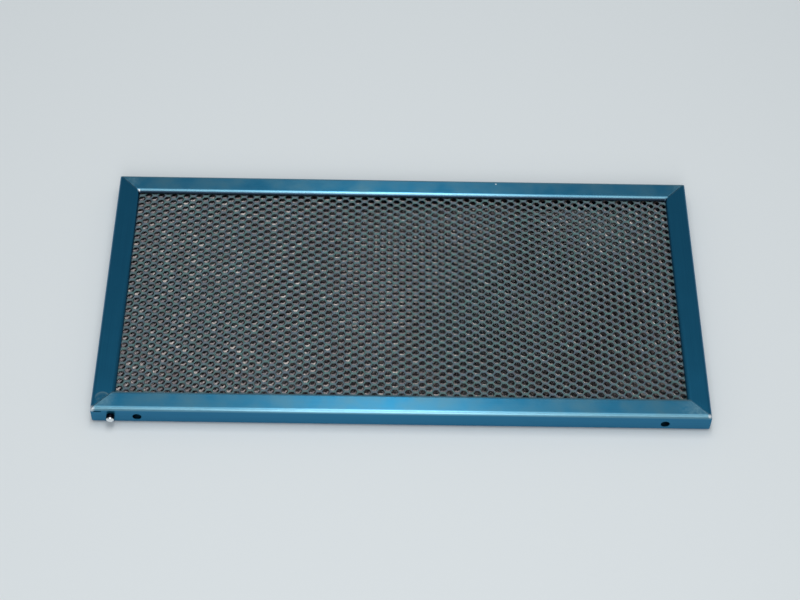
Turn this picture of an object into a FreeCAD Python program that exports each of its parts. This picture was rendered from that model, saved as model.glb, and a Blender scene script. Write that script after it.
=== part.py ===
"""Cooker hood grease filter: a folded channel frame that clamps a pack of expanded-metal layers.

Millimetres. X runs along the length, Y from the front wall to the rear one and Z up. The origin is
under the middle of the frame, on the plane that its lower flanges rest on.
"""
import FreeCAD, Part
import math
import os

import Sketcher

# Driving dimensions: alias and value, in millimetres, and in degrees for the two angles.
DIMENSIONS = {
    # the channel frame
    "frame_length": 300.0,
    "frame_depth": 150.0,
    "frame_height": 11.5,
    "sheet": 0.6,
    "bend_radius": 2.0,
    "flange_width": 10.8,
    "lip_angle": 80.0,
    "lip_drop": 2.0,
    "lip_radius": 2.0,
    "mitre_gap": 0.3,
    # the corner where the strip's two ends meet
    "tab_length": 13.0,
    "tab_height": 6.0,
    "tab_gap": 0.1,
    "notch_inset": 1.6,
    "notch_length": 3.6,
    "notch_height": 0.7,
    # the two plain holes in the front wall
    "hole_radius": 2.2,
    "hole_inset": 22.2,
    "hole_level": 5.2,
    # the rivet that closes the strip
    "rivet_inset": 9.5,
    "rivet_level": 5.8,
    "rivet_shank_radius": 1.5,
    "rivet_clearance": 0.05,
    "rivet_head_radius": 2.05,
    "rivet_head_length": 3.0,
    "rivet_nose_chamfer": 1.0,
    "rivet_tail_radius": 2.3,
    "rivet_tail_length": 0.8,
    # the mesh pack
    "mesh_margin": 2.6,
    "strand": 3.2,
    "strand_lean": 35.0,
    "face_cell_length": 30.8,
    "face_cell_depth": 18.2,
    "face_bond": 7.0,
    "inner_cell_length": 45.0,
    "inner_cell_depth": 40.0,
    "inner_bond": 12.0,
}

SHEET_NAME = "dims"
SKETCH_ORIGIN = (-1, 1)
LINE_START = 1
LINE_END = 2
CIRCLE_CENTRE = 3


class Size:
    """A number together with the spreadsheet expression that gives it."""

    def __init__(self, text, value):
        self.text = text
        self.value = value

    def __add__(self, other):
        other = as_size(other)
        return Size(f"({self.text} + {other.text})", self.value + other.value)

    def __sub__(self, other):
        other = as_size(other)
        return Size(f"({self.text} - {other.text})", self.value - other.value)

    def __mul__(self, other):
        other = as_size(other)
        return Size(f"({self.text} * {other.text})", self.value * other.value)

    def __truediv__(self, other):
        other = as_size(other)
        return Size(f"({self.text} / {other.text})", self.value / other.value)

    def __neg__(self):
        return Size(f"(0 - {self.text})", -self.value)


def as_size(value):
    """Give a plain number the form of a Size."""
    return value if isinstance(value, Size) else Size(str(value), value)


def sine(angle):
    """Sine of a Size in degrees."""
    return Size(f"sin({angle.text} * 1deg)", math.sin(math.radians(angle.value)))


def tangent(angle):
    """Tangent of a Size in degrees."""
    return Size(f"tan({angle.text} * 1deg)", math.tan(math.radians(angle.value)))


def make_sheet(doc):
    """Write the driving dimensions to a spreadsheet and return them as Sizes by name."""
    sheet = doc.addObject("Spreadsheet::Sheet", SHEET_NAME)
    sizes = {}
    for row, (alias, value) in enumerate(DIMENSIONS.items(), start=1):
        sheet.set(f"A{row}", alias)
        sheet.set(f"B{row}", str(value))
        sheet.setAlias(f"B{row}", alias)
        sizes[alias] = Size(f"{SHEET_NAME}.{alias}", value)
    doc.recompute()
    return sizes


def bind(thing, path, size):
    """Tie one property of a feature to the spreadsheet."""
    thing.setExpression(path, as_size(size).text)


def origin_feature(body, role):
    """The plane or axis of the body's own origin that has this role."""
    return next(item for item in body.Origin.OriginFeatures if item.Role == role)


def new_body(doc, label):
    """Start a sub-part; its label names its file."""
    body = doc.addObject("PartDesign::Body", label)
    body.Label = label
    return body


def new_sketch(body, name, role, level=None):
    """Start a sketch on an origin plane of the body, raised along its normal by level."""
    sketch = body.newObject("Sketcher::SketchObject", name)
    sketch.AttachmentSupport = [(origin_feature(body, role), "")]
    sketch.MapMode = "FlatFace"
    if level is not None:
        bind(sketch, "AttachmentOffset.Base.z", level)
    return sketch


def pin_point(sketch, geometry, end, across, along):
    """Hold a sketch point at two Sizes measured from the sketch origin."""
    for kind, size in (("DistanceX", across), ("DistanceY", along)):
        rule = Sketcher.Constraint(kind, *SKETCH_ORIGIN, geometry, end, size.value)
        bind(sketch, f"Constraints[{sketch.addConstraint(rule)}]", size)


def tangent_points(before, corner, after, radius):
    """Where an arc of this radius leaves the two straight runs at a corner, with its centre."""
    point = FreeCAD.Vector(*corner, 0)
    back = (FreeCAD.Vector(*before, 0) - point).normalize()
    ahead = (FreeCAD.Vector(*after, 0) - point).normalize()
    half_angle = back.getAngle(ahead) / 2
    reach = radius / math.tan(half_angle)
    centre = point + (back + ahead).normalize() * (radius / math.sin(half_angle))
    return point + back * reach, point + ahead * reach, centre


def corner_arc(start, end, centre, radius):
    """The short arc from start to end, and whether the sketch keeps it from end to start."""
    first = math.atan2(start.y - centre.y, start.x - centre.x)
    last = math.atan2(end.y - centre.y, end.x - centre.x)
    turn = (last - first) % (2 * math.pi)
    reverse = turn > math.pi
    if reverse:
        first, last = last, first
    circle = Part.Circle(centre, FreeCAD.Vector(0, 0, 1), radius)
    return Part.ArcOfCircle(circle, first, last), reverse


def outline(sketch, corners):
    """Draw a closed outline from corners of two Sizes each, with a third one, a radius, where round."""
    corners = [tuple(as_size(size) for size in corner) for corner in corners]
    places = [(corner[0].value, corner[1].value) for corner in corners]
    count = len(corners)
    joins = []
    for index, corner in enumerate(corners):
        place = places[index]
        if len(corner) == 3:
            before, after = places[index - 1], places[(index + 1) % count]
            joins.append(tangent_points(before, place, after, corner[2].value))
        else:
            point = FreeCAD.Vector(*place, 0)
            joins.append((point, point, None))

    lines = []
    for index in range(count):
        run = Part.LineSegment(joins[index][1], joins[(index + 1) % count][0])
        lines.append(sketch.addGeometry(run, False))

    for index, corner in enumerate(corners):
        line_in, line_out = lines[index - 1], lines[index]
        if len(corner) == 2:
            rule = Sketcher.Constraint("Coincident", line_in, LINE_END, line_out, LINE_START)
            sketch.addConstraint(rule)
            pin_point(sketch, line_out, LINE_START, corner[0], corner[1])
            continue
        round_corner(sketch, corner, joins[index], line_in, line_out)


def round_corner(sketch, corner, join, line_in, line_out):
    """Join two straight runs by a tangent arc whose sharp corner stays pinned."""
    arc, reverse = corner_arc(*join, corner[2].value)
    arc = sketch.addGeometry(arc, False)
    arc_in, arc_out = (LINE_END, LINE_START) if reverse else (LINE_START, LINE_END)
    sketch.addConstraint(Sketcher.Constraint("Tangent", line_in, LINE_END, arc, arc_in))
    sketch.addConstraint(Sketcher.Constraint("Tangent", line_out, LINE_START, arc, arc_out))
    rule = Sketcher.Constraint("Radius", arc, corner[2].value)
    bind(sketch, f"Constraints[{sketch.addConstraint(rule)}]", corner[2])
    sharp = FreeCAD.Vector(corner[0].value, corner[1].value, 0)
    sharp = sketch.addGeometry(Part.Point(sharp), True)
    for line in (line_in, line_out):
        sketch.addConstraint(Sketcher.Constraint("PointOnObject", sharp, LINE_START, line))
    pin_point(sketch, sharp, LINE_START, corner[0], corner[1])


def circle(sketch, across, along, radius):
    """Draw a circle with its centre and radius tied to Sizes."""
    centre = FreeCAD.Vector(across.value, along.value, 0)
    ring = sketch.addGeometry(Part.Circle(centre, FreeCAD.Vector(0, 0, 1), radius.value), False)
    rule = Sketcher.Constraint("Radius", ring, radius.value)
    bind(sketch, f"Constraints[{sketch.addConstraint(rule)}]", radius)
    pin_point(sketch, ring, CIRCLE_CENTRE, across, along)


def rectangle(sketch, left, low, right, high):
    """Draw an upright rectangle between four Sizes."""
    outline(sketch, [(left, low), (right, low), (right, high), (left, high)])


def pad(body, name, sketch, length):
    """Raise a sketch along its normal."""
    feature = body.newObject("PartDesign::Pad", name)
    feature.Profile = sketch
    bind(feature, "Length", length)
    return feature


def cut_through(body, name, sketch, reverse=False):
    """Cut a sketch through all that lies on one side of it, and make sure that it took metal away."""
    before = body.Shape.Volume
    feature = body.newObject("PartDesign::Pocket", name)
    feature.Profile = sketch
    feature.Type = "ThroughAll"
    feature.Reversed = reverse
    body.Document.recompute()
    if body.Shape.Volume >= before:
        raise RuntimeError(f"{body.Label}: {name} cuts nothing")
    return feature


def channel_section(size):
    """Corners of the lipped channel: reach from the outer wall, level and, where round, radius."""
    height = size["frame_height"]
    sheet = size["sheet"]
    bend = size["bend_radius"]
    flange = size["flange_width"]
    drop = size["lip_drop"]
    seat_width = sheet / sine(size["lip_angle"])
    lip_tip = lip_reach(size)
    inner_bend = flange - sheet * tangent(size["lip_angle"] / 2)
    upper = [
        (as_size(0.0), height, bend),
        (flange, height, size["lip_radius"]),
        (lip_tip, height - drop),
        (lip_tip - seat_width, height - drop),
        (inner_bend, height - sheet, size["lip_radius"] - sheet),
        (sheet, height - sheet, bend - sheet),
    ]
    lower = [(corner[0], height - corner[1], *corner[2:]) for corner in reversed(upper)]
    return upper + lower


def lip_reach(size):
    """How far the lip's tip stands from the outer face of the frame."""
    return size["flange_width"] + size["lip_drop"] / tangent(size["lip_angle"])


def sweep_channel(body, size):
    """Carry the channel section round the outline of the frame, with square mitred corners."""
    right = size["frame_length"] / 2
    rear = size["frame_depth"] / 2
    path = new_sketch(body, "frame_path", "XY_Plane")
    start = (as_size(0.0), -rear)
    outline(path, [start, (right, -rear), (right, rear), (-right, rear), (-right, -rear)])
    section = new_sketch(body, "frame_section", "YZ_Plane")
    outline(section, [(corner[0] - rear, *corner[1:]) for corner in channel_section(size)])
    sweep = body.newObject("PartDesign::AdditivePipe", "channel")
    sweep.Profile = section
    sweep.Spine = path
    sweep.Transition = "Right corner"
    body.Document.recompute()


def add_closing_tab(body, size):
    """The strip's left end, turned in behind the front wall for the rivet to hold."""
    left = -size["frame_length"] / 2
    face = size["sheet"] + size["tab_gap"] - size["frame_depth"] / 2
    level = (size["frame_height"] - size["tab_height"]) / 2
    sketch = new_sketch(body, "tab_plan", "XY_Plane", level)
    root = left + size["sheet"] / 2
    rectangle(sketch, root, face, left + size["sheet"] + size["tab_length"], face + size["sheet"])
    pad(body, "closing_tab", sketch, size["tab_height"])
    body.Document.recompute()


def cut_mitres(body, size):
    """Part the flanges along the four diagonals, and the strip's two ends at the front left."""
    sheet = size["sheet"]
    gap = size["mitre_gap"]
    start = sheet
    end = lip_reach(size) + gap
    right = size["frame_length"] / 2
    rear = size["frame_depth"] / 2
    slots = new_sketch(body, "mitre_plan", "XY_Plane")
    for across in (-1, 1):
        for along in (-1, 1):
            near_x, near_y = (right - start) * across, (rear - start) * along
            far_x, far_y = (right - end) * across, (rear - end) * along
            half = gap / 2
            outline(slots, [(near_x - half, near_y), (near_x + half, near_y),
                            (far_x + half, far_y), (far_x - half, far_y)])
    cut_through(body, "mitre_slots", slots, reverse=True)

    seam = new_sketch(body, "seam_plan", "XY_Plane")
    seam_left = sheet - right
    rectangle(seam, seam_left, -rear - sheet, seam_left + gap, sheet - rear)
    cut_through(body, "corner_seam", seam, reverse=True)


def pierce_front_wall(body, size):
    """The two plain holes, the rivet's hole and the relief notch beside the closing corner."""
    right = size["frame_length"] / 2
    sketch = new_sketch(body, "front_holes_plan", "XZ_Plane")
    for side in (-1, 1):
        place = (right - size["hole_inset"]) * side
        circle(sketch, place, size["hole_level"], size["hole_radius"])
    rivet_hole = size["rivet_shank_radius"] + size["rivet_clearance"]
    circle(sketch, size["rivet_inset"] - right, size["rivet_level"], rivet_hole)
    cut_through(body, "front_holes", sketch, reverse=True)

    notch = new_sketch(body, "notch_plan", "XZ_Plane")
    notch_left = size["notch_inset"] - right
    notch_top = size["frame_height"] - size["bend_radius"]
    rectangle(notch, notch_left, notch_top - size["notch_height"],
              notch_left + size["notch_length"], notch_top)
    cut_through(body, "relief_notch", notch, reverse=True)


def make_frame(doc, size):
    """The folded strip: channel, mitre gaps, closing tab and front wall holes."""
    body = new_body(doc, "frame")
    sweep_channel(body, size)
    cut_mitres(body, size)
    add_closing_tab(body, size)
    pierce_front_wall(body, size)
    return body


def make_rivet(doc, size):
    """The rivet through the front wall and the closing tab, with a bevelled nose."""
    body = new_body(doc, "closing_rivet")
    outer_face = -size["frame_depth"] / 2
    inner_face = outer_face + size["sheet"] * 2 + size["tab_gap"]
    head_tip = outer_face - size["rivet_head_length"]
    tail_end = inner_face + size["rivet_tail_length"]
    axis = as_size(0.0)
    head = size["rivet_head_radius"]
    shank = size["rivet_shank_radius"]
    tail = size["rivet_tail_radius"]
    sketch = new_sketch(body, "rivet_half_section", "XY_Plane")
    outline(sketch, [
        (axis, head_tip),
        (head - size["rivet_nose_chamfer"], head_tip),
        (head, head_tip + size["rivet_nose_chamfer"]),
        (head, outer_face),
        (shank, outer_face),
        (shank, inner_face),
        (tail, inner_face),
        (tail, tail_end),
        (axis, tail_end),
    ])
    turned = body.newObject("PartDesign::Revolution", "turned_rivet")
    turned.Profile = sketch
    turned.ReferenceAxis = (sketch, ["V_Axis"])
    turned.Angle = 360
    bind(body, "Placement.Base.x", size["rivet_inset"] - size["frame_length"] / 2)
    bind(body, "Placement.Base.z", size["rivet_level"])
    doc.recompute()
    return body


class Cell:
    """The repeat of one kind of mesh: its two pitches, and the bars between its gaps."""

    def __init__(self, size, kind):
        self.length = size[f"{kind}_cell_length"]
        self.depth = size[f"{kind}_cell_depth"]
        self.bond = size[f"{kind}_bond"]
        self.strand = size["strand"]

    def gap(self, centre_x, centre_y):
        """Corners of one six-sided gap."""
        share = (self.depth - self.strand) / self.depth
        side = (self.length - self.bond) / 2 * share
        edge = self.bond / 2 * share
        rise = self.depth / 2 * share
        return [(centre_x + side, centre_y), (centre_x + edge, centre_y + rise),
                (centre_x - edge, centre_y + rise), (centre_x - side, centre_y),
                (centre_x - edge, centre_y - rise), (centre_x + edge, centre_y - rise)]


def whole_fit(room, pitch):
    """How many whole pitches go into the room."""
    return Size(f"floor({room.text} / {pitch.text})", math.floor(room.value / pitch.value))


def repeat_gaps(body, name, level, cell, columns, rows, lean):
    """Cut one leaning gap and repeat it over a centred grid of columns and rows."""
    first_x = -(columns - 1) * cell.length / 2
    first_y = -(rows - 1) * cell.depth / 2
    sketch = new_sketch(body, f"{name}_plan", "XY_Plane", level)
    outline(sketch, cell.gap(first_x, first_y))
    gap = cut_through(body, f"{name}_cut", sketch)
    gap.UseCustomVector = True
    gap.Direction = FreeCAD.Vector(0, math.tan(math.radians(lean)), -1)
    pattern = body.newObject("PartDesign::LinearPattern", name)
    pattern.Originals = [gap]
    pattern.Direction = (origin_feature(body, "X_Axis"), [""])
    pattern.Direction2 = (origin_feature(body, "Y_Axis"), [""])
    bind(pattern, "Length", cell.length * (columns - 1))
    bind(pattern, "Length2", cell.depth * (rows - 1))
    bind(pattern, "Occurrences", columns)
    bind(pattern, "Occurrences2", rows)
    body.Tip = pattern
    body.Document.recompute()


def make_mesh_layer(doc, size, label, kind, order, layer_total, lean):
    """One layer of expanded metal: a sheet with two interleaved grids of leaning six-sided gaps."""
    body = new_body(doc, label)
    thickness = (size["frame_height"] - size["lip_drop"] * 2) / layer_total
    low = size["lip_drop"] + thickness * order
    inset = size["sheet"] + size["mesh_margin"]
    right = size["frame_length"] / 2 - inset
    rear = size["frame_depth"] / 2 - inset
    plan = new_sketch(body, f"{label}_plan", "XY_Plane", low)
    rectangle(plan, -right, -rear, right, rear)
    pad(body, f"{label}_sheet", plan, thickness)
    doc.recompute()

    cell = Cell(size, kind)
    columns = whole_fit(size["frame_length"] - lip_reach(size) * 2, cell.length)
    rows = whole_fit(size["frame_depth"] - lip_reach(size) * 2, cell.depth)
    high = low + thickness
    repeat_gaps(body, f"{label}_gaps", high, cell, columns, rows, lean)
    repeat_gaps(body, f"{label}_between", high, cell, columns - 1, rows - 1, lean)
    return body


# The mesh pack from the bottom up: label, kind of cell and which way the strands lean.
LAYERS = [
    ("bottom_mesh", "face", -1),
    ("lower_inner_mesh", "inner", 1),
    ("middle_inner_mesh", "inner", -1),
    ("upper_inner_mesh", "inner", 1),
    ("top_mesh", "face", -1),
]


def check_document(doc, pieces):
    """Stop if a feature failed or a piece is not one sound solid."""
    for item in doc.Objects:
        if "Invalid" in item.State or "Error" in item.State:
            raise RuntimeError(f"{item.Label} failed: {item.State}")
    for piece in pieces:
        shape = piece.Shape
        if shape.isNull() or not shape.isValid() or len(shape.Solids) != 1:
            raise RuntimeError(f"{piece.Label} is not one valid solid")


def main():
    doc = FreeCAD.newDocument("grease_filter")
    size = make_sheet(doc)
    pieces = [make_frame(doc, size), make_rivet(doc, size)]
    for order, (label, kind, side) in enumerate(LAYERS):
        lean = side * size["strand_lean"].value
        pieces.append(make_mesh_layer(doc, size, label, kind, order, len(LAYERS), lean))
    doc.recompute()
    check_document(doc, pieces)
    os.makedirs("parts", exist_ok=True)
    for piece in pieces:
        piece.Shape.exportStep(f"parts/{piece.Label}.step")
        print(piece.Label, round(piece.Shape.Volume, 1), piece.Shape.BoundBox)


main()
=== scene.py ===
"""Cooker hood grease filter: a mitred channel frame round layers of expanded metal."""
from math import cos, radians, sin, tan

import bmesh
import bpy
from bpy.props import FloatProperty, FloatVectorProperty, IntProperty, PointerProperty
from mathutils import Matrix, Vector


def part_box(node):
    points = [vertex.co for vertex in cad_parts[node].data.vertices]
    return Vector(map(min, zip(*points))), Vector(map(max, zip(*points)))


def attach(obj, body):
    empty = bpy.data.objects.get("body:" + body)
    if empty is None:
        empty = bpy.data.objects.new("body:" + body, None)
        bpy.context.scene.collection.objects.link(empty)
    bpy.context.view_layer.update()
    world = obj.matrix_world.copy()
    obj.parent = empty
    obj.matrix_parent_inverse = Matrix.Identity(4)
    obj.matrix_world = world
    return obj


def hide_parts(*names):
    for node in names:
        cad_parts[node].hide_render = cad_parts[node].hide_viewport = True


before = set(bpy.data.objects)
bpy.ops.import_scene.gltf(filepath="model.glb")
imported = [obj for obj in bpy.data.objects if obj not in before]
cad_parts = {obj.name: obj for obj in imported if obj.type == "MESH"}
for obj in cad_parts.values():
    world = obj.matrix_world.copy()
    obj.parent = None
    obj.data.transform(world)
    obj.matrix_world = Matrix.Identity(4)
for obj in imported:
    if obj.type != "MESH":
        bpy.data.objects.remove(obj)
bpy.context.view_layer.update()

bl_info = {
    "name": "Cooker hood grease filter",
    "version": (1, 0, 0),
    "blender": (4, 5, 0),
    "location": "View3D > Sidebar > Grease filter",
    "description": "Dresses the packed grease filter with a folded frame, rivet and expanded mesh",
    "category": "Object",
}

FRAME_LOW, FRAME_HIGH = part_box("frame")
RIVET_LOW, RIVET_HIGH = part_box("closing_rivet")
RIVET_X = (RIVET_LOW[0] + RIVET_HIGH[0]) / 2
RIVET_Z = (RIVET_LOW[2] + RIVET_HIGH[2]) / 2
BODY = "root"
MM = 0.001
SQUARE = radians(90)

# Points closer than this are one point; the copies of a mesh cell meet a little less exactly.
WELD = 0.001 * MM
CELL_WELD = 0.01 * MM

# Edges that turn by more than this are shaded as creases.
CREASE = radians(32)

# How far the wall stands in at the edges and in the middle of a mitre seam, as shares of the
# corner's rounding.
SEAM_EDGE_INSET = 0.14
SEAM_INSET = 0.28

# Facets of the pierced holes, depth of a cut in sheet thicknesses, and the play round the rivet.
HOLE_FACETS = 48
CUT_DEPTH = 4
RIVET_PLAY = 0.05 * MM

# The gap before the rivet's tail, the rounding of the tail's rim, and the facets of the roundings.
TAIL_GAP = 0.1 * MM
TAIL_ROUNDING = 0.3 * MM
TAIL_STEPS = 3
NOSE_STEPS = 8

# Share of an opening's half depth over which its edge swings from raised to lowered.
LEAN_SHARE = 0.5

# Cells beyond the size of a layer, so that a shifted or turned sheet still covers it.
SPARE_COLUMNS = 4
SPARE_ROWS = 5

# For each layer: its shift in cells, its turn in degrees, how many times its length it was pulled
# to, and whether it is a face sheet, whose openings are rounded.
LAYER_LAY = {
    "bottom_mesh": ((0.2, 0.3), 0.0, 1.0, True),
    "lower_inner_mesh": ((0.45, 0.1), 1.6, 1.0, False),
    "middle_inner_mesh": ((0.05, 0.1), 178.7, 1.0, False),
    "upper_inner_mesh": ((-0.01, 0.37), -0.30, 1.010, False),
    "top_mesh": ((0.0, 0.0), 0.0, 1.0, True),
}

# Each softbox: its name, place, size in metres and power in watts. All look at the origin.
SOFTBOXES = (
    ("front_softbox", (0.0, -1.00, 0.95), (1.0, 0.6), 3.0),
    ("front_strip", (0.0, -1.05, 0.72), (0.30, 0.7), 2.2),
    ("top_softbox", (0.0, 0.05, 1.20), (0.9, 0.9), 4.0),
    ("top_strip", (0.0, 0.10, 1.18), (0.16, 0.9), 2.8),
)

# The light that comes from all around, half the floor's side in metres, and how far the floor
# lies below the frame.
ROOM_TINT = (0.80, 0.86, 0.90, 1.0)
ROOM_STRENGTH = 0.33
FLOOR_HALF = 3.0
FLOOR_GAP = 0.1 * MM

# Width of the camera's sensor in millimetres.
SENSOR_WIDTH = 36.0


def length(name, description, millimetres):
    """A size that a user may change, shown in the scene's own unit."""
    return FloatProperty(
        name=name, description=description, default=millimetres * MM, precision=5,
        unit="LENGTH", subtype="DISTANCE",
    )


def angle(name, description, degrees):
    """An angle that a user may change."""
    return FloatProperty(
        name=name, description=description, default=radians(degrees), subtype="ANGLE"
    )


def srgb(text):
    """Linear colour of an sRGB hex value."""
    channels = [int(text[start:start + 2], 16) / 255 for start in (1, 3, 5)]
    linear = [c / 12.92 if c <= 0.04045 else ((c + 0.055) / 1.055) ** 2.4 for c in channels]
    return (*linear, 1.0)


def colour(name, description, text):
    """A colour that a user may change."""
    return FloatVectorProperty(
        name=name, description=description, default=srgb(text), size=4, min=0.0, max=1.0,
        subtype="COLOR",
    )


class FilterFrameSizes(bpy.types.PropertyGroup):
    """Sizes and colours of the folded channel frame."""

    sheet: length("Sheet", "Thickness of the folded sheet", 0.6)
    bend: length("Bend radius", "Outer radius of the folds between wall and flange", 2.0)
    flange: length("Flange", "Width of the flange, from the wall to the lip's fold", 10.8)
    lip_drop: length("Lip drop", "How far the lip falls from the flange to the mesh", 2.0)
    lip_bend: length("Lip radius", "Outer radius of the fold between flange and lip", 2.0)
    lip_angle: angle("Lip angle", "Slope of the lip down to the mesh", 80)
    corner: length("Corner rounding", "How far from a corner the wall starts to turn", 0.7)
    seam: length("Mitre seam", "Half the width of the seam between two flanges", 0.14)
    seam_depth: length("Seam depth", "How deep a mitre seam sinks", 0.14)
    closing_depth: length("Closing seam depth", "How deep it sinks where the ends meet", 0.5)
    hole: length("Peg hole radius", "Radius of the two peg holes", 2.2)
    hole_inset: length("Peg hole inset", "From the end of the frame to a peg hole", 22.2)
    hole_level: length("Peg hole level", "Height of the peg holes", 5.2)
    notch_inset: length("Notch inset", "From the end of the frame to the relief notch", 1.6)
    notch_length: length("Notch length", "Length of the relief notch", 3.6)
    notch_height: length("Notch height", "Height of the relief notch", 0.7)
    notch_level: length("Notch level", "Lower edge of the relief notch", 8.8)
    # The lap's arc is a paler line with paler patches inside it.
    lap: length("Lap radius", "Radius of the rubbed arc where the strip's ends meet", 3.3)
    lap_side: length("Lap from the side", "From the left wall to the middle of that arc", 5.4)
    lap_front: length("Lap from the front", "From the front wall to the middle of that arc", 6.4)
    fold_steps: IntProperty(
        name="Fold steps", description="Facets of each fold", default=8, min=2, max=16
    )
    # Painted reflection: the blue of metal and streak stands for a blue backdrop mirrored in the
    # steel.
    metal: colour("Metal", "Blue sheen of the satin sheet", "#287CA2")
    streak: colour("Grain", "Darker grain lines of the satin sheet", "#206C92")
    # Painted highlight: the paler colour on the folds of the long rails.
    fold: colour("Fold", "Paler metal along the folds", "#76A6B8")
    # Painted shade: the dark line at the foot of the rear lip.
    crevice_shade: colour("Grime", "Dark line at the foot of the rear lip", "#34485A")
    # Greyer tone in cloudy patches on the flat flanges of the long rails.
    grey_patch: colour("Handled metal", "Greyer metal where the long rails are held", "#4A7688")
    # Paler marks along the mitre seams, near the mitres and at the lap.
    paler_mark: colour("Scuff", "Dull metal where the sheet is rubbed", "#6A98AC")
    # Painted glint: the bright colour at three tips and a nick.
    glint: colour("Bare tip", "Bright metal at the tips of the folds", "#F2F4F6")


class FilterRivetSizes(bpy.types.PropertyGroup):
    """Sizes and colours of the closing rivet."""

    head: length("Head radius", "Radius of the rivet's head", 2.05)
    shank: length("Shank radius", "Radius of the rivet's shank", 1.45)
    tail: length("Tail radius", "Radius of the flattened tail", 2.3)
    dome: length("Dome", "How far back the rounding of the nose reaches", 1.3)
    turns: IntProperty(
        name="Turning steps", description="Facets round the rivet", default=40, min=12, max=96
    )
    # How much of the nose keeps its bright metal; past it the side is painted dark.
    glint: length("Bare nose", "How much of the nose is worn bright", 0.6)
    metal: colour("Metal", "Bright bare aluminium", "#EEF1F3")
    # Painted reflection: the dark colour of the rivet's side, mirroring dark surroundings.
    dark_reflection: colour("Collar", "Dark oxide on the rivet's side", "#1C1A20")


class FilterMeshSizes(bpy.types.PropertyGroup):
    """Sizes and colours of the expanded-metal layers."""

    cell_length: length("Cell length", "Long way of a mesh cell", 6.7)
    cell_depth: length("Cell depth", "Short way of a mesh cell", 4.35)
    bond: length("Bond length", "Length of the joint between two strands", 2.2)
    strand: length("Strand width", "From a cell's end to its opening", 0.34)
    bond_width: length("Bond width", "From a cell's flat side to its opening", 0.45)
    inner_strand: length("Inner strand width", "The same inside the pack", 0.38)
    inner_bond_width: length("Inner bond width", "The same inside the pack", 0.56)
    rounding: length("Opening rounding", "How far the corners of an opening are cut back", 0.3)
    rise: length("Rise", "How far a strand's edge rises from the middle of its layer", 0.3)
    sheet: length("Sheet", "Thickness of the expanded sheet", 0.22)
    face_metal: colour("Face mesh", "Dull aluminium of the outer layers", "#466868")
    face_cast: colour("Face mesh cast", "Second tone of the outer layers", "#4C5E6A")
    inner_metal: colour("Inner mesh", "Dull aluminium inside the pack", "#9E9692")
    inner_cast: colour("Inner mesh cast", "Second tone inside the pack", "#585458")
    grease: colour("Grease", "Brown film in the hollows of the pack", "#4A3B38")


class FilterStageSizes(bpy.types.PropertyGroup):
    """The floor and the camera."""

    floor: colour("Floor", "Pale floor", "#E3E8EA")
    eye: FloatVectorProperty(
        name="Camera", description="Where the camera stands", default=(-0.0109, -0.5650, 0.7349),
        subtype="TRANSLATION",
    )
    yaw: angle("Yaw", "Turn to the right", 0.996)
    pitch: angle("Pitch", "Look down", 52.315)
    roll: angle("Roll", "Lean of the camera", 1.637)
    lens: FloatProperty(name="Lens", description="Focal length in millimetres", default=81.6)


SIZE_GROUPS = {
    "filter_frame": FilterFrameSizes,
    "filter_rivet": FilterRivetSizes,
    "filter_mesh": FilterMeshSizes,
    "filter_stage": FilterStageSizes,
}


def add_node(tree, kind, settings=None, inputs=None):
    """One node with its settings; an input is a value, or the socket that it is linked from."""
    node = tree.nodes.new(kind)
    for name, value in (settings or {}).items():
        setattr(node, name, value)
    for key, value in (inputs or {}).items():
        if isinstance(value, bpy.types.NodeSocket):
            tree.links.new(value, node.inputs[key])
        else:
            node.inputs[key].default_value = value
    return node


def start_material(name, **constants):
    """A material and its shader, with the values that are the same all over the surface."""
    material = bpy.data.materials.new(name)
    material.use_nodes = True
    shader = material.node_tree.nodes["Principled BSDF"]
    for key, value in constants.items():
        shader.inputs[key.replace("_", " ")].default_value = value
    return material, material.node_tree, shader


def feed_shader(tree, shader, sockets):
    """Link what varies over the surface to the shader."""
    for key, socket in sockets.items():
        tree.links.new(socket, shader.inputs[key])


def per_mm(millimetres):
    """Scale of a pattern on Object coordinates whose features are this far apart."""
    return 1.0 / (millimetres * MM)


def rail_reach(tree, place):
    """How far a point is from the nearer outer wall, and how far past the mitre on a long rail."""
    right, rear, _ = FRAME_HIGH
    flat = add_node(tree, "ShaderNodeVectorMath", {"operation": "ABSOLUTE"}, {0: place})
    inset = add_node(
        tree, "ShaderNodeVectorMath", {"operation": "SUBTRACT"},
        {0: (right, rear, 0.0), 1: flat.outputs["Vector"]},
    )
    apart = add_node(tree, "ShaderNodeSeparateXYZ", inputs={"Vector": inset.outputs["Vector"]})
    walls = {0: apart.outputs["X"], 1: apart.outputs["Y"]}
    nearer = add_node(tree, "ShaderNodeMath", {"operation": "MINIMUM"}, walls)
    past_mitre = add_node(tree, "ShaderNodeMath", {"operation": "SUBTRACT"}, walls)
    return nearer.outputs["Value"], past_mitre.outputs["Value"]


def lay_over(tree, under, over, *bands):
    """Lay a tone over another where all bands agree.

    A band is a value, where the tone is full and where it has gone.
    """
    cover = 1.0
    for value, full, none in bands:
        band = add_node(
            tree, "ShaderNodeMapRange", {"interpolation_type": "SMOOTHSTEP"},
            {"Value": value, "From Min": none, "From Max": full, "To Min": 0.0, "To Max": 1.0},
        )
        agreed = add_node(
            tree, "ShaderNodeMath", {"operation": "MULTIPLY"}, {0: cover, 1: band.outputs["Result"]}
        )
        cover = agreed.outputs["Value"]
    tone = add_node(
        tree, "ShaderNodeMix", {"data_type": "RGBA"},
        {"Factor": cover, "A": under, "B": tuple(over)},
    )
    return tone.outputs["Result"]


def lay_spots(tree, place, under, over, spots, *bands):
    """Lay a tone over round spots, each full in its middle and gone at its reach."""
    tone = under
    for point, reach in spots:
        away = add_node(
            tree, "ShaderNodeVectorMath", {"operation": "DISTANCE"}, {0: place, 1: point}
        )
        tone = lay_over(tree, tone, over, (away.outputs["Value"], 0.0, reach), *bands)
    return tone


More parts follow.
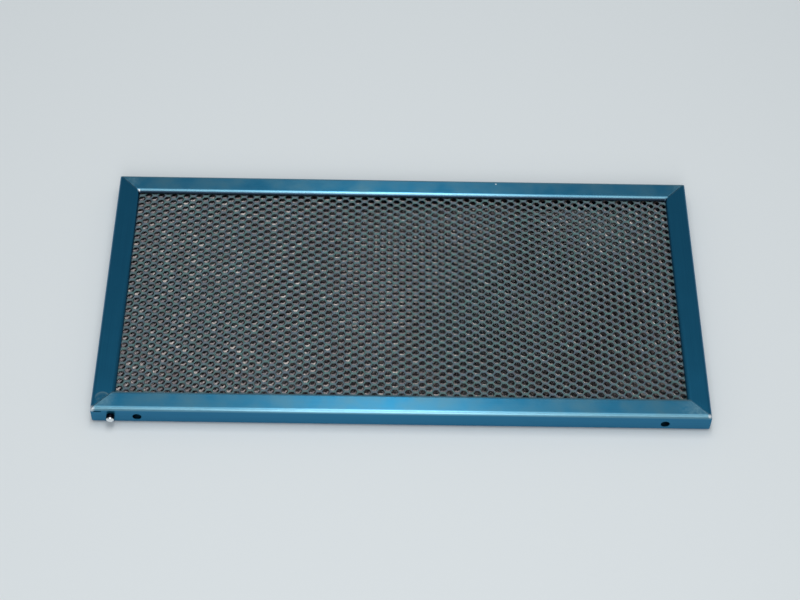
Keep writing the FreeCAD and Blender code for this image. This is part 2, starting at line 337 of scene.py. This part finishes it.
def satin_sheet(sizes):
    """Satin rolled steel sheet: fine grain along each rail, tinted blue as a painted reflection."""
    material, tree, shader = start_material(
        "satin_rolled_steel", Metallic=1.0, Anisotropic=0.8, Anisotropic_Rotation=0.25,
        Coat_Weight=0.1, Coat_Roughness=0.2,
    )
    along = add_node(tree, "ShaderNodeUVMap", {"uv_map": "grain"})
    place = add_node(tree, "ShaderNodeTexCoord").outputs["Object"]
    # The real grain is near 0.05 mm, too fine to show, so it is drawn 0.5 mm wide and 60 mm long.
    stretch = add_node(
        tree, "ShaderNodeMapping",
        inputs={"Vector": along.outputs["UV"], "Scale": (per_mm(60), per_mm(0.5), 1.0)},
    )
    grain = add_node(
        tree, "ShaderNodeTexNoise",
        inputs={"Vector": stretch.outputs["Vector"], "Scale": 1.0, "Detail": 3.0},
    ).outputs["Fac"]
    # The cloudy patches are about 12 mm across.
    cloud = add_node(
        tree, "ShaderNodeTexNoise", inputs={"Vector": place, "Scale": per_mm(12), "Detail": 4.0}
    ).outputs["Fac"]
    # The grain's two tones; their blue is a painted reflection of a blue backdrop.
    sheen = add_node(
        tree, "ShaderNodeMix", {"data_type": "RGBA"},
        {"Factor": grain, "A": tuple(sizes.streak), "B": tuple(sizes.metal)},
    )
    gloss = add_node(
        tree, "ShaderNodeMapRange", inputs={"Value": cloud, "To Min": 0.24, "To Max": 0.40}
    )
    relief = add_node(
        tree, "ShaderNodeBump", inputs={"Strength": 0.12, "Distance": 0.03 * MM, "Height": grain}
    )
    run = add_node(tree, "ShaderNodeTangent", {"direction_type": "UV_MAP", "uv_map": "grain"})
    feed_shader(tree, shader, {
        "Base Color": marks_and_painted_light(tree, place, sheen.outputs["Result"], grain, cloud, sizes),
        "Roughness": gloss.outputs["Result"],
        "Normal": relief.outputs["Normal"],
        "Tangent": run.outputs["Tangent"],
    })
    return material


def marks_and_painted_light(tree, place, tone, grain, cloud, sizes):
    """Grey patches, paler marks, and painted highlights, shade and glints laid over the sheet."""
    rear, top = FRAME_HIGH[1:]
    nearer, past_mitre = rail_reach(tree, place)
    seam = add_node(tree, "ShaderNodeMath", {"operation": "ABSOLUTE"}, {0: past_mitre})
    apart = add_node(tree, "ShaderNodeSeparateXYZ", inputs={"Vector": place})
    depth, level = apart.outputs["Y"], apart.outputs["Z"]
    # The patches of the paler marks are about 1.5 mm apart.
    patch_noise = add_node(
        tree, "ShaderNodeTexNoise", inputs={"Vector": place, "Scale": per_mm(1.5), "Detail": 5.0}
    )
    patchy = (patch_noise.outputs["Fac"], 0.9, 0.1)
    streaky = (grain, 0.6, 0.0)
    long_rail = (past_mitre, 0.0, -0.3 * MM)
    short_rail = (past_mitre, -0.3 * MM, 0.0)
    rear_rail = (depth, rear - 11 * MM, rear - 13 * MM)
    flat_only = (level, top - 0.2 * MM, top - 1.2 * MM)
    # Greyer tone in cloudy patches on the flat flanges of the long rails.
    tone = lay_over(tree, tone, sizes.grey_patch, (cloud, 0.95, 0.12), flat_only, long_rail)
    # Painted highlight: long rails' folds painted paler over their radius, most facing up and out.
    outer_fold_highlight = (nearer, 0.5 * MM, 2.4 * MM), (level, top - 0.7 * MM, top - 2.2 * MM)
    lip_fold_highlight = (nearer, 10.2 * MM, 9.2 * MM), (level, top - 0.3 * MM, top - 1.0 * MM)
    for fold in (outer_fold_highlight, lip_fold_highlight):
        tone = lay_over(tree, tone, sizes.fold, *fold, long_rail, streaky)
    # A paler line along each mitre seam near the top edge, in patches.
    at_seam = (seam.outputs["Value"], 0.2 * MM, 1.0 * MM)
    at_edge = (level, top - 0.1 * MM, top - 0.6 * MM)
    tone = lay_over(tree, tone, sizes.paler_mark, at_seam, at_edge, patchy)
    tone = lay_spots(
        tree, place, tone, sizes.paler_mark, paler_mitre_patches(), flat_only, long_rail, patchy
    )
    tone = lay_lap(tree, place, tone, sizes, depth, patchy, short_rail, flat_only)
    # Painted shade along the foot of the rear lip, where it meets the mesh.
    below_fold = (level, top - 0.75 * MM, top - 0.35 * MM)
    under_lip = (nearer, 10.4 * MM, 9.8 * MM)
    tone = lay_over(tree, tone, sizes.crevice_shade, below_fold, under_lip, rear_rail)
    # Painted glints at three tips and a nick.
    return lay_spots(tree, place, tone, sizes.glint, painted_glints())


def lay_lap(tree, place, tone, sizes, depth, patchy, *rail_bands):
    """Where the strip's ends meet, a paler arc and paler patches inside it on the short rail."""
    left, front, _ = FRAME_LOW
    middle = left + sizes.lap_side, front + sizes.lap_front, FRAME_HIGH[2]
    away = add_node(tree, "ShaderNodeVectorMath", {"operation": "DISTANCE"}, {0: place, 1: middle})
    off_arc = add_node(
        tree, "ShaderNodeMath", {"operation": "SUBTRACT"}, {0: away.outputs["Value"], 1: sizes.lap}
    ).outputs["Value"]
    from_arc = add_node(tree, "ShaderNodeMath", {"operation": "ABSOLUTE"}, {0: off_arc})
    inside = (off_arc, -1.0 * MM, 0.5 * MM)
    line = (from_arc.outputs["Value"], 0.1 * MM, 0.7 * MM)
    fading = (depth, front + 9.5 * MM, front + 5.0 * MM)
    tone = lay_over(tree, tone, sizes.paler_mark, inside, *rail_bands, patchy, patchy)
    return lay_over(tree, tone, sizes.paler_mark, line, *rail_bands, fading)


def paler_mitre_patches():
    """Paler patches near the mitres, and how far each patch reaches."""
    left, front, _ = FRAME_LOW
    right, rear, top = FRAME_HIGH
    return [
        ((right - 7 * MM, front + 5 * MM, top), 12 * MM),
        ((left + 6 * MM, front + 6 * MM, top), 8 * MM),
        ((left + 7 * MM, rear - 4 * MM, top), 6 * MM),
        ((right - 3 * MM, rear - 3 * MM, top), 5 * MM),
    ]


def painted_glints():
    """Painted glints at three tips and a bright spot at a nick, and how far each reaches."""
    left, front, _ = FRAME_LOW
    right, rear, top = FRAME_HIGH
    lip = bpy.context.scene.filter_frame.flange
    return [
        ((left + 0.6 * MM, front + 0.6 * MM, top - 0.8 * MM), 2.3 * MM),
        ((right - 1.0 * MM, front + 1.0 * MM, top - 0.5 * MM), 1.6 * MM),
        ((left + lip, rear - lip + 0.4 * MM, top - 0.3 * MM), 1.0 * MM),
        ((49.3 * MM, rear - 2.7 * MM, top), 0.6 * MM),
    ]


def headed_rivet_metal(sizes):
    """Cold-headed rivet: a bright nose, and a side painted dark as a painted reflection."""
    material, tree, shader = start_material("headed_aluminium_dark_reflection", Metallic=1.0)
    place = add_node(tree, "ShaderNodeTexCoord").outputs["Object"]
    apart = add_node(tree, "ShaderNodeSeparateXYZ", inputs={"Vector": place})
    # Handling marks are about 0.4 mm apart.
    marks = add_node(
        tree, "ShaderNodeTexNoise", inputs={"Vector": place, "Scale": per_mm(0.4), "Detail": 2.0}
    ).outputs["Fac"]
    # The side past the nose's bright tip is a painted dark reflection, with a soft edge.
    collar_edge = RIVET_LOW[1] + sizes.glint
    soft = 0.1 * MM
    dark_side_share = add_node(
        tree, "ShaderNodeMapRange",
        inputs={
            "Value": apart.outputs["Y"], "From Min": collar_edge - soft,
            "From Max": collar_edge + soft, "To Min": 0.0, "To Max": 1.0,
        },
    )
    tone = add_node(
        tree, "ShaderNodeMix", {"data_type": "RGBA"},
        {"Factor": dark_side_share.outputs["Result"], "A": tuple(sizes.metal), "B": tuple(sizes.dark_reflection)},
    )
    gloss = add_node(
        tree, "ShaderNodeMapRange", inputs={"Value": marks, "To Min": 0.18, "To Max": 0.34}
    )
    relief = add_node(
        tree, "ShaderNodeBump", inputs={"Strength": 0.15, "Distance": 0.04 * MM, "Height": marks}
    )
    feed_shader(tree, shader, {
        "Base Color": tone.outputs["Result"],
        "Roughness": gloss.outputs["Result"],
        "Normal": relief.outputs["Normal"],
    })
    return material


def expanded_sheet(name, metal, cast, film, split, share, dull, gleam):
    """Slit and stretched aluminium sheet: dull strands of uneven tone, with a thin brown film.

    The noise goes from one tone to the other at split, the film covers up to a share of them,
    dull is the middle of the roughness and gleam is how metallic the strands are.
    """
    material, tree, shader = start_material(name, Metallic=gleam)
    place = add_node(tree, "ShaderNodeTexCoord").outputs["Object"]
    # The film's patches are 9 mm across, the tone shifts every 3 mm, the rolled skin every 0.6 mm.
    patches, shift, mottle = (
        add_node(
            tree, "ShaderNodeTexNoise",
            inputs={"Vector": place, "Scale": per_mm(apart), "Detail": detail},
        ).outputs["Fac"]
        for apart, detail in ((9, 3.0), (3, 2.0), (0.6, 2.0))
    )
    soft = 0.1
    two_tones = add_node(
        tree, "ShaderNodeMapRange",
        inputs={"Value": shift, "From Min": split - soft, "From Max": split + soft},
    )
    skin = add_node(
        tree, "ShaderNodeMix", {"data_type": "RGBA"},
        {"Factor": two_tones.outputs["Result"], "A": tuple(metal), "B": tuple(cast)},
    )
    cover = add_node(
        tree, "ShaderNodeMapRange",
        inputs={
            "Value": patches, "From Min": 0.35, "From Max": 0.7, "To Min": 0.0, "To Max": share,
        },
    )
    tone = add_node(
        tree, "ShaderNodeMix", {"data_type": "RGBA"},
        {"Factor": cover.outputs["Result"], "A": skin.outputs["Result"], "B": tuple(film)},
    )
    spread = 0.1
    gloss = add_node(
        tree, "ShaderNodeMapRange",
        inputs={"Value": mottle, "To Min": dull - spread, "To Max": dull + spread},
    )
    relief = add_node(
        tree, "ShaderNodeBump", inputs={"Strength": 0.25, "Distance": 0.05 * MM, "Height": mottle}
    )
    feed_shader(tree, shader, {
        "Base Color": tone.outputs["Result"],
        "Roughness": gloss.outputs["Result"],
        "Normal": relief.outputs["Normal"],
    })
    return material


def pale_paper(sizes):
    """Matt pale paper under the filter, which takes its soft shadow."""
    material, tree, shader = start_material(
        "matt_pale_paper", Base_Color=tuple(sizes.floor), Roughness=0.9
    )
    place = add_node(tree, "ShaderNodeTexCoord").outputs["Object"]
    # The paper's tooth is about 0.8 mm.
    tooth = add_node(
        tree, "ShaderNodeTexNoise", inputs={"Vector": place, "Scale": per_mm(0.8), "Detail": 2.0}
    )
    relief = add_node(
        tree, "ShaderNodeBump",
        inputs={"Strength": 0.05, "Distance": 0.05 * MM, "Height": tooth.outputs["Fac"]},
    )
    feed_shader(tree, shader, {"Normal": relief.outputs["Normal"]})
    return material


def new_object(bm, name):
    """Turn a bmesh into an object of the scene, which sits at the origin."""
    mesh = bpy.data.meshes.new(name)
    bm.to_mesh(mesh)
    bm.free()
    made = bpy.data.objects.new(name, mesh)
    bpy.context.scene.collection.objects.link(made)
    return made


def dress_piece(piece, material, slot, *nodes):
    """Give a piece its finish and its place on the body, and let it stand for its CAD nodes."""
    piece.data.materials.clear()
    piece.data.materials.append(material)
    piece.data.shade_smooth()
    piece.data.set_sharp_from_angle(angle=CREASE)
    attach(piece, BODY)
    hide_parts(*nodes)


def round_point(bm, point, radius, turn, steps):
    """Round one corner of a flat outline to a radius, where its two edges turn by an angle."""
    bmesh.ops.bevel(
        bm, geom=[point], offset=radius * tan(turn / 2), offset_type="OFFSET", segments=steps,
        profile=0.5, affect="VERTICES", material=-1,
    )


def channel_outline(bm, sizes):
    """Closed outline of the lipped channel: x is the reach from the outer wall, z the level."""
    height = FRAME_HIGH[2] - FRAME_LOW[2]
    slope = sizes.lip_angle
    lip_level = height - sizes.lip_drop
    tip = sizes.flange + sizes.lip_drop / tan(slope)
    seat = sizes.sheet / sin(slope)
    under_lip = sizes.flange - sizes.sheet * tan(slope / 2)
    upper = [
        (0.0, height, sizes.bend, SQUARE),
        (sizes.flange, height, sizes.lip_bend, slope),
        (tip, lip_level, 0.0, slope),
        (tip - seat, lip_level, 0.0, slope),
        (under_lip, height - sizes.sheet, sizes.lip_bend - sizes.sheet, slope),
        (sizes.sheet, height - sizes.sheet, sizes.bend - sizes.sheet, SQUARE),
    ]
    lower = [
        (reach, height - level, radius, turn) for reach, level, radius, turn in reversed(upper)
    ]
    corners = upper + lower
    points = [bm.verts.new((reach, 0.0, level)) for reach, level, _, _ in corners]
    bm.faces.new(points)
    for point, (_, _, radius, turn) in zip(points, corners):
        if radius:
            round_point(bm, point, radius, turn, sizes.fold_steps)
    bmesh.ops.delete(bm, geom=bm.faces[:], context="FACES_ONLY")


def station(corner, along, inset, sink):
    """Matrix that stands the channel outline on a mitre, moved along a rail, inwards and sunk."""
    inward = Vector((-1.0 if corner.x > 0 else 1.0, -1.0 if corner.y > 0 else 1.0, 0.0))
    height = FRAME_HIGH[2] - FRAME_LOW[2]
    squeeze = 1.0 - 2.0 * sink / height
    place = corner + along + inward * inset
    return Matrix((
        (inward.x, -inward.y, 0.0, place.x),
        (inward.y, inward.x, 0.0, place.y),
        (0.0, 0.0, squeeze, FRAME_LOW[2] + sink),
        (0.0, 0.0, 0.0, 1.0),
    ))


def corner_stations(sizes):
    """Where the outline stands on its way round: five stations at each corner."""
    left, front, _ = FRAME_LOW
    right, rear, _ = FRAME_HIGH
    corners = [(right, front), (right, rear), (left, rear), (left, front)]
    ways = [Vector((1, 0, 0)), Vector((0, 1, 0)), Vector((-1, 0, 0)), Vector((0, -1, 0))]
    seam_edge = sizes.corner * SEAM_EDGE_INSET
    stations = []
    for index, (x, y) in enumerate(corners):
        corner = Vector((x, y, 0.0))
        before = ways[index]
        after = ways[(index + 1) % len(ways)]
        # The strip's ends meet at the last corner.
        sink = sizes.closing_depth if index == len(corners) - 1 else sizes.seam_depth
        stations += [
            station(corner, -before * sizes.corner, 0.0, 0.0),
            station(corner, -before * sizes.seam, seam_edge, 0.0),
            station(corner, Vector(), sizes.corner * SEAM_INSET, sink),
            station(corner, after * sizes.seam, seam_edge, 0.0),
            station(corner, after * sizes.corner, 0.0, 0.0),
        ]
    return stations


def carry_outline(bm, stations):
    """Extrude the outline from station to station and close the ring."""
    bmesh.ops.transform(bm, matrix=stations[0], verts=bm.verts[:])
    edges = bm.edges[:]
    for last, following in zip(stations, stations[1:] + stations[:1]):
        made = bmesh.ops.extrude_edge_only(bm, edges=edges)["geom"]
        verts = [item for item in made if isinstance(item, bmesh.types.BMVert)]
        edges = [item for item in made if isinstance(item, bmesh.types.BMEdge)]
        bmesh.ops.transform(bm, matrix=following @ last.inverted(), verts=verts)
    bmesh.ops.remove_doubles(bm, verts=bm.verts[:], dist=WELD)
    bmesh.ops.recalc_face_normals(bm, faces=bm.faces[:])


def lay_grain(bm):
    """Run the grain map along each rail: u is the way along it, v the way across."""
    left, front, _ = FRAME_LOW
    right, rear, _ = FRAME_HIGH
    grain = bm.loops.layers.uv.new("grain")
    for face in bm.faces:
        middle = face.calc_center_median()
        to_side = min(middle.x - left, right - middle.x)
        to_front = min(middle.y - front, rear - middle.y)
        for loop in face.loops:
            x, y, z = loop.vert.co
            loop[grain].uv = (x, y + z) if to_front < to_side else (y, x + z)


def front_cutter(sizes):
    """What is pierced through the front wall: two peg holes, the rivet's hole and the notch."""
    left, front, bottom = FRAME_LOW
    depth = CUT_DEPTH * sizes.sheet
    bm = bmesh.new()
    holes = [
        (left + sizes.hole_inset, bottom + sizes.hole_level, sizes.hole),
        (-left - sizes.hole_inset, bottom + sizes.hole_level, sizes.hole),
        (RIVET_X, RIVET_Z, bpy.context.scene.filter_rivet.shank + RIVET_PLAY),
    ]
    for x, z, radius in holes:
        place = Matrix.Translation((x, front, z)) @ Matrix.Rotation(SQUARE, 4, "X")
        bmesh.ops.create_cone(
            bm, cap_ends=True, segments=HOLE_FACETS, radius1=radius, radius2=radius, depth=depth,
            matrix=place,
        )
    notch = Matrix.Translation((
        left + sizes.notch_inset + sizes.notch_length / 2, front,
        sizes.notch_level + sizes.notch_height / 2,
    ))
    span = Matrix.Diagonal((sizes.notch_length, depth, sizes.notch_height, 1.0))
    bmesh.ops.create_cube(bm, size=1.0, matrix=notch @ span)
    return new_object(bm, "front_cutter")


def apply_cut(piece, cutter):
    """Cut a piece with another object, keep the result as its mesh, and remove the cutter."""
    cut = piece.modifiers.new("pierce", "BOOLEAN")
    cut.operation = "DIFFERENCE"
    cut.solver = "EXACT"
    cut.object = cutter
    whole = piece.data
    scene_graph = bpy.context.evaluated_depsgraph_get()
    piece.data = bpy.data.meshes.new_from_object(piece.evaluated_get(scene_graph))
    piece.modifiers.clear()
    bpy.data.meshes.remove(whole)
    cut_mesh = cutter.data
    bpy.data.objects.remove(cutter)
    bpy.data.meshes.remove(cut_mesh)


class FILTER_OT_fold_frame(bpy.types.Operator):
    """Fold the channel frame, pierce its front wall and give it its satin sheet"""

    bl_idname = "grease_filter.fold_frame"
    bl_label = "Fold the frame"

    def execute(self, context):
        sizes = context.scene.filter_frame
        bm = bmesh.new()
        channel_outline(bm, sizes)
        carry_outline(bm, corner_stations(sizes))
        lay_grain(bm)
        piece = new_object(bm, "folded_frame")
        solid_edges = len(piece.data.edges)
        apply_cut(piece, front_cutter(sizes))
        if len(piece.data.edges) <= solid_edges:
            raise RuntimeError("the holes of the front wall were not cut")
        dress_piece(piece, satin_sheet(sizes), "frame_metal", "frame")
        even = piece.modifiers.new("even_folds", "WEIGHTED_NORMAL")
        even.keep_sharp = True
        return {"FINISHED"}


class FILTER_OT_set_rivet(bpy.types.Operator):
    """Turn the closing rivet: a domed head, its shank and its flattened tail"""

    bl_idname = "grease_filter.set_rivet"
    bl_label = "Set the rivet"

    def execute(self, context):
        sizes = context.scene.filter_rivet
        sheet = context.scene.filter_frame.sheet
        wall = FRAME_LOW[1]
        nose, tail_back = RIVET_LOW[1], RIVET_HIGH[1]
        # The tail sits behind the wall and the closing tab, two sheets deep.
        tail_face = wall + 2 * sheet + TAIL_GAP
        axis = Vector((RIVET_X, 0.0, RIVET_Z))
        profile = [
            (0.0, nose), (sizes.head, nose), (sizes.head, wall), (sizes.shank, wall),
            (sizes.shank, tail_face), (sizes.tail, tail_face), (sizes.tail, tail_back),
            (0.0, tail_back),
        ]
        bm = bmesh.new()
        points = [bm.verts.new(axis + Vector((reach, y, 0.0))) for reach, y in profile]
        for start, end in zip(points, points[1:]):
            bm.edges.new((start, end))
        nose_rim, tail_rim = points[1], points[6]
        round_point(bm, nose_rim, sizes.dome, SQUARE, NOSE_STEPS)
        round_point(bm, tail_rim, TAIL_ROUNDING, SQUARE, TAIL_STEPS)
        bmesh.ops.spin(
            bm, geom=bm.verts[:] + bm.edges[:], cent=axis, axis=(0.0, 1.0, 0.0),
            angle=radians(360), steps=sizes.turns, use_merge=True,
        )
        bmesh.ops.remove_doubles(bm, verts=bm.verts[:], dist=WELD)
        bmesh.ops.recalc_face_normals(bm, faces=bm.faces[:])
        piece = new_object(bm, "rivet")
        dress_piece(piece, headed_rivet_metal(sizes), "rivet_metal", "closing_rivet")
        return {"FINISHED"}


def mesh_cell(bm, sizes, rounded):
    """One hexagon of expanded sheet; the edge of its opening rises in front and falls behind."""
    half_bond = sizes.bond / 2
    reach = sizes.cell_length / 2 - half_bond
    half = sizes.cell_depth / 2
    hexagon = [
        (reach, 0), (half_bond, half), (-half_bond, half),
        (-reach, 0), (-half_bond, -half), (half_bond, -half),
    ]
    rim = [bm.verts.new((x, y, 0.0)) for x, y in hexagon]
    narrow = 1.0 - (sizes.strand if rounded else sizes.inner_strand) / reach
    low = 1.0 - (sizes.bond_width if rounded else sizes.inner_bond_width) / half
    opening = [bm.verts.new((x * narrow, y * low, 0.0)) for x, y in hexagon]
    bm.faces.new(rim)
    bm.faces.new(opening)
    if rounded:
        bmesh.ops.bevel(
            bm, geom=opening, offset=sizes.rounding, offset_type="OFFSET", segments=1, profile=0.5,
            affect="VERTICES", material=-1,
        )
    opening = [vert for vert in bm.verts if vert not in rim]
    for vert in opening:
        lean = vert.co.y / (half * low * LEAN_SHARE)
        vert.co.z = -sizes.rise * max(-1.0, min(1.0, lean))
    bmesh.ops.delete(bm, geom=bm.faces[:], context="FACES_ONLY")
    bmesh.ops.bridge_loops(bm, edges=bm.edges[:])


def repeat(bm, step, count):
    """Lay copies of all that is there in a row, a step apart."""
    bmesh.ops.spin(
        bm, geom=bm.verts[:] + bm.edges[:] + bm.faces[:], cent=(0.0, 0.0, 0.0),
        axis=(0.0, 0.0, 1.0), angle=0.0, dvec=step, steps=count - 1, use_duplicate=True,
    )


def trim(bm, half_length, half_depth):
    """Cut a sheet to size with a shear along each side."""
    sides = ((1, 0, half_length), (-1, 0, half_length), (0, 1, half_depth), (0, -1, half_depth))
    for x, y, reach in sides:
        side = Vector((x, y, 0.0))
        bmesh.ops.bisect_plane(
            bm, geom=bm.verts[:] + bm.edges[:] + bm.faces[:], dist=WELD, plane_co=side * reach,
            plane_no=side, clear_outer=True,
        )


def mesh_layer(sizes, node, shift, turn, pull, rounded):
    """A sheet of expanded metal, cut to the size of its CAD node and laid in the middle of it."""
    low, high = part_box(node)
    half_length, half_depth = high[:2]
    columns = int(2 * half_length / sizes.cell_length) + SPARE_COLUMNS
    rows = int(2 * half_depth / sizes.cell_depth) + SPARE_ROWS
    bm = bmesh.new()
    mesh_cell(bm, sizes, rounded)
    repeat(bm, (sizes.cell_length / 2, sizes.cell_depth / 2, 0.0), 2)
    repeat(bm, (sizes.cell_length, 0.0, 0.0), columns)
    repeat(bm, (0.0, sizes.cell_depth, 0.0), rows)
    bmesh.ops.remove_doubles(bm, verts=bm.verts[:], dist=CELL_WELD)
    start = Vector((
        (shift[0] - columns / 2) * sizes.cell_length, (shift[1] - rows / 2) * sizes.cell_depth, 0.0,
    ))
    bmesh.ops.translate(bm, vec=start, verts=bm.verts[:])
    bmesh.ops.scale(bm, vec=(pull, 1.0, 1.0), verts=bm.verts[:])
    bmesh.ops.rotate(
        bm, cent=(0.0, 0.0, 0.0), matrix=Matrix.Rotation(turn, 3, "Z"), verts=bm.verts[:]
    )
    trim(bm, half_length, half_depth)
    bmesh.ops.recalc_face_normals(bm, faces=bm.faces[:])
    bmesh.ops.solidify(bm, geom=bm.faces[:], thickness=sizes.sheet)
    levels = [vert.co.z for vert in bm.verts]
    middle = (low[2] + high[2]) / 2 - (min(levels) + max(levels)) / 2
    bmesh.ops.translate(bm, vec=(0.0, 0.0, middle), verts=bm.verts[:])
    return bm


class FILTER_OT_lay_mesh(bpy.types.Operator):
    """Lay the five layers of expanded metal into the frame"""

    bl_idname = "grease_filter.lay_mesh"
    bl_label = "Lay the mesh"

    def execute(self, context):
        sizes = context.scene.filter_mesh
        face_metal = expanded_sheet(
            "dull_expanded_aluminium", sizes.face_metal, sizes.face_cast, sizes.grease,
            split=0.5, share=0.25, dull=0.5, gleam=0.4,
        )
        inner_metal = expanded_sheet(
            "greased_expanded_aluminium", sizes.inner_metal, sizes.inner_cast, sizes.grease,
            split=0.40, share=0.5, dull=0.38, gleam=0.6,
        )
        for node, (shift, turn, pull, rounded) in LAYER_LAY.items():
            bm = mesh_layer(sizes, node, shift, radians(turn), pull, rounded)
            piece = new_object(bm, "expanded_" + node)
            if rounded:
                dress_piece(piece, face_metal, "face_mesh_metal", node)
            else:
                dress_piece(piece, inner_metal, "inner_mesh_metal", node)
        return {"FINISHED"}


def add_light(name, place, size, power):
    """One rectangular softbox that looks at the origin."""
    lamp = bpy.data.lights.new(name, "AREA")
    lamp.shape = "RECTANGLE"
    lamp.size, lamp.size_y = size
    lamp.energy = power
    box = bpy.data.objects.new(name, lamp)
    box.location = place
    box.rotation_euler = (-Vector(place)).to_track_quat("-Z", "Y").to_euler()
    bpy.context.scene.collection.objects.link(box)


class FILTER_OT_light_stage(bpy.types.Operator):
    """Lay the pale floor, set the soft light and stand the camera"""

    bl_idname = "grease_filter.light_stage"
    bl_label = "Light the stage"

    def execute(self, context):
        sizes = context.scene.filter_stage
        bm = bmesh.new()
        bmesh.ops.create_grid(bm, x_segments=2, y_segments=2, size=FLOOR_HALF)
        bmesh.ops.translate(bm, vec=(0.0, 0.0, FRAME_LOW[2] - FLOOR_GAP), verts=bm.verts[:])
        floor = new_object(bm, "pale_floor")
        floor.data.materials.append(pale_paper(sizes))
        for softbox in SOFTBOXES:
            add_light(*softbox)
        world = bpy.data.worlds.new("soft_room")
        world.use_nodes = True
        room = world.node_tree.nodes["Background"]
        room.inputs["Color"].default_value = ROOM_TINT
        room.inputs["Strength"].default_value = ROOM_STRENGTH
        context.scene.world = world
        context.scene.view_settings.view_transform = "Standard"
        self.stand_camera(context, sizes)
        return {"FINISHED"}

    def stand_camera(self, context, sizes):
        """Stand the camera where the photograph was taken from."""
        ahead = Vector((
            sin(sizes.yaw) * cos(sizes.pitch), cos(sizes.yaw) * cos(sizes.pitch), -sin(sizes.pitch),
        ))
        level = Vector((cos(sizes.yaw), -sin(sizes.yaw), 0.0))
        upright = level.cross(ahead)
        across = level * cos(sizes.roll) + upright * sin(sizes.roll)
        upward = upright * cos(sizes.roll) - level * sin(sizes.roll)
        lens = bpy.data.cameras.new("photo_camera")
        lens.lens = sizes.lens
        lens.sensor_width = SENSOR_WIDTH
        lens.sensor_fit = "HORIZONTAL"
        camera = bpy.data.objects.new("photo_camera", lens)
        facing = Matrix((across, upward, -ahead)).transposed().to_4x4()
        camera.matrix_world = Matrix.Translation(sizes.eye) @ facing
        context.scene.collection.objects.link(camera)
        context.scene.camera = camera


class VIEW3D_PT_grease_filter(bpy.types.Panel):
    """The steps and sizes of the grease filter"""

    bl_label = "Grease filter"
    bl_space_type = "VIEW_3D"
    bl_region_type = "UI"
    bl_category = "Grease filter"

    def draw(self, context):
        for step in STEPS:
            self.layout.operator(step.bl_idname)
        for name, group in SIZE_GROUPS.items():
            box = self.layout.box()
            box.label(text=group.__doc__)
            for size in group.__annotations__:
                box.prop(getattr(context.scene, name), size)


STEPS = (FILTER_OT_fold_frame, FILTER_OT_set_rivet, FILTER_OT_lay_mesh, FILTER_OT_light_stage)
CLASSES = (*SIZE_GROUPS.values(), *STEPS, VIEW3D_PT_grease_filter)


def register():
    """Make the sizes, the steps and the panel known to Blender."""
    for entry in CLASSES:
        bpy.utils.register_class(entry)
    for name, group in SIZE_GROUPS.items():
        setattr(bpy.types.Scene, name, PointerProperty(type=group))


def unregister():
    """Take back what register did."""
    for name in SIZE_GROUPS:
        delattr(bpy.types.Scene, name)
    for entry in reversed(CLASSES):
        bpy.utils.unregister_class(entry)


def main():
    """Build the filter and its stage."""
    register()
    bpy.ops.grease_filter.fold_frame()
    bpy.ops.grease_filter.set_rivet()
    bpy.ops.grease_filter.lay_mesh()
    bpy.ops.grease_filter.light_stage()


if __name__ == "__main__":
    main()
